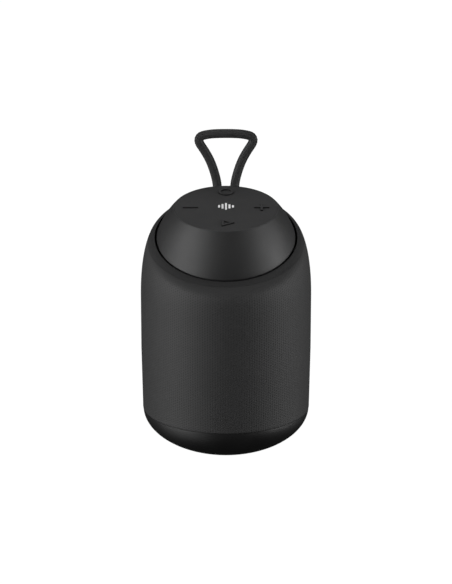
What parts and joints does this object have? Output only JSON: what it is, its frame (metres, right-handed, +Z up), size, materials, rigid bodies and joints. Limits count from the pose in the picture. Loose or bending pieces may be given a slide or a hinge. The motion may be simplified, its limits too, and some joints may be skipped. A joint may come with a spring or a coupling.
{
  "type": "shower speaker",
  "caption": "Small drum-shaped portable speaker in black fabric on a rounded base, with a slanting tapered head, raised symbol keys on its tilted top and a braided cord loop to hang it by.",
  "frame": {"origin": "on the ground under the axis of the fabric drum, at the middle of the round foot", "axes": "+Z up along the drum, the low side of the slanting head faces -Y (the front), +X to the right seen from the front"},
  "size_m": [0.0822, 0.082, 0.1502],
  "materials": {
    "base_plastic": "smooth semi-gloss moulded plastic",
    "foot_rubber": "matte rubber",
    "seal_rubber": "silicone rubber",
    "screw_steel": "zinc-plated steel",
    "cell_can": "shrink-wrapped lithium cell",
    "inner_plastic": "black structural plastic",
    "basket_steel": "zinc-plated pressed steel",
    "magnet_ferrite": "ferrite",
    "spider_cloth": "resin-treated cloth",
    "cone_paper": "coated paper",
    "coil_copper": "enamelled copper winding",
    "surround_rubber": "butyl rubber",
    "radiator_plastic": "glass-filled plastic",
    "weight_steel": "steel weight",
    "sleeve_fabric": "fine knitted acoustic cloth",
    "collar_plastic": "fine satin plastic",
    "head_plastic": "satin moulded plastic",
    "pad_rubber": "matte silicone rubber",
    "mark_white": "printed white",
    "board_green": "solder-masked circuit board",
    "switch_black": "moulded switch body",
    "cord_braid": "braided polyester",
    "bushing_rubber": "moulded rubber",
    "ferrule_aluminium": "crimped aluminium",
    "port_plastic": "satin plastic",
    "flap_rubber": "soft rubber",
    "socket_steel": "stainless shell",
    "module_shield": "tinned shield can on a small board",
    "chip_black": "moulded chip package",
    "capacitor_can": "aluminium can",
    "connector_white": "nylon",
    "wire_insulation": "insulated wire"
  },
  "bodies": {
    "speaker": {"acoustic_box": "inner_plastic", "amplifier_chip": "chip_black", "base_screws": "screw_steel", "base_seal": "seal_rubber", "base_shell": "base_plastic", "battery_cell": "cell_can", "battery_cradle": "inner_plastic", "battery_leads": "wire_insulation", "bluetooth_module": "module_shield", "board_connectors": "connector_white", "box_gasket": "seal_rubber", "box_lid": "inner_plastic", "box_lid_screws": "screw_steel", "button_board": "board_green", "button_board_screws": "screw_steel", "capacitors": "capacitor_can", "centre_mark": "mark_white", "control_pad": "pad_rubber", "cord_bushings": "bushing_rubber", "cord_ferrules": "ferrule_aluminium", "driver_basket": "basket_steel", "driver_front_plate": "basket_steel", "driver_gasket": "seal_rubber", "driver_leads": "wire_insulation", "driver_magnet": "magnet_ferrite", "driver_spider": "spider_cloth", "driver_surround": "surround_rubber", "driver_yoke": "basket_steel", "fabric_sleeve": "sleeve_fabric", "foot_pad": "foot_rubber", "frame_screws": "screw_steel", "grille_cage": "inner_plastic", "head_screws": "screw_steel", "head_shell": "head_plastic", "lanyard_tails": "cord_braid", "main_board": "board_green", "main_board_screws": "screw_steel", "neck_frame": "inner_plastic", "neck_gasket": "seal_rubber", "port_board": "board_green", "port_housing": "port_plastic", "port_leads": "wire_insulation", "radiator_frame": "inner_plastic", "radiator_gasket": "seal_rubber", "radiator_surround": "surround_rubber", "sleeve_collar": "collar_plastic", "speaker_screws": "screw_steel", "tact_switches": "switch_black", "usb_socket": "socket_steel"},
    "lanyard": {"lanyard_loop": "cord_braid"},
    "play_button": {"play_key": "pad_rubber"},
    "power_button": {"power_key": "pad_rubber"},
    "volume_up_button": {"volume_up_key": "pad_rubber"},
    "volume_down_button": {"volume_down_key": "pad_rubber"},
    "port_cover": {"port_flap": "flap_rubber"},
    "driver_diaphragm": {"driver_cone": "cone_paper", "dust_cap": "cone_paper", "voice_coil": "coil_copper"},
    "passive_radiator": {"radiator_plate": "radiator_plastic", "radiator_weight": "weight_steel"}
  },
  "joints": [
    {"name": "play_press", "type": "slide", "parent": "speaker", "child": "play_button", "axis": [0, 0.1736, -0.9848], "range_m": [0, 0.0004], "stiffness_N_per_m": 1500},
    {"name": "power_press", "type": "slide", "parent": "speaker", "child": "power_button", "axis": [0, 0.1736, -0.9848], "range_m": [0, 0.0004], "stiffness_N_per_m": 1500},
    {"name": "volume_up_press", "type": "slide", "parent": "speaker", "child": "volume_up_button", "axis": [0, 0.1736, -0.9848], "range_m": [0, 0.0004], "stiffness_N_per_m": 1500},
    {"name": "volume_down_press", "type": "slide", "parent": "speaker", "child": "volume_down_button", "axis": [0, 0.1736, -0.9848], "range_m": [0, 0.0004], "stiffness_N_per_m": 1500},
    {"name": "lanyard_swing", "type": "hinge", "parent": "speaker", "child": "lanyard", "pos_m": [0, 0.0292, 0.1229], "axis": [-1, 0, 0], "range_deg": [0, 100], "stiffness_Nm_per_rad": 0.004},
    {"name": "port_flap_hinge", "type": "hinge", "parent": "speaker", "child": "port_cover", "pos_m": [-0.0077, 0.04015, 0.0292], "axis": [0, 0, 1], "range_deg": [0, 110]},
    {"name": "driver_stroke", "type": "slide", "parent": "speaker", "child": "driver_diaphragm", "axis": [0, -1, 0], "range_m": [-0.001, 0.001], "stiffness_N_per_m": 1500},
    {"name": "radiator_stroke", "type": "slide", "parent": "speaker", "child": "passive_radiator", "axis": [0, 1, 0], "range_m": [-0.0015, 0.0015], "stiffness_N_per_m": 1200}
  ]
}
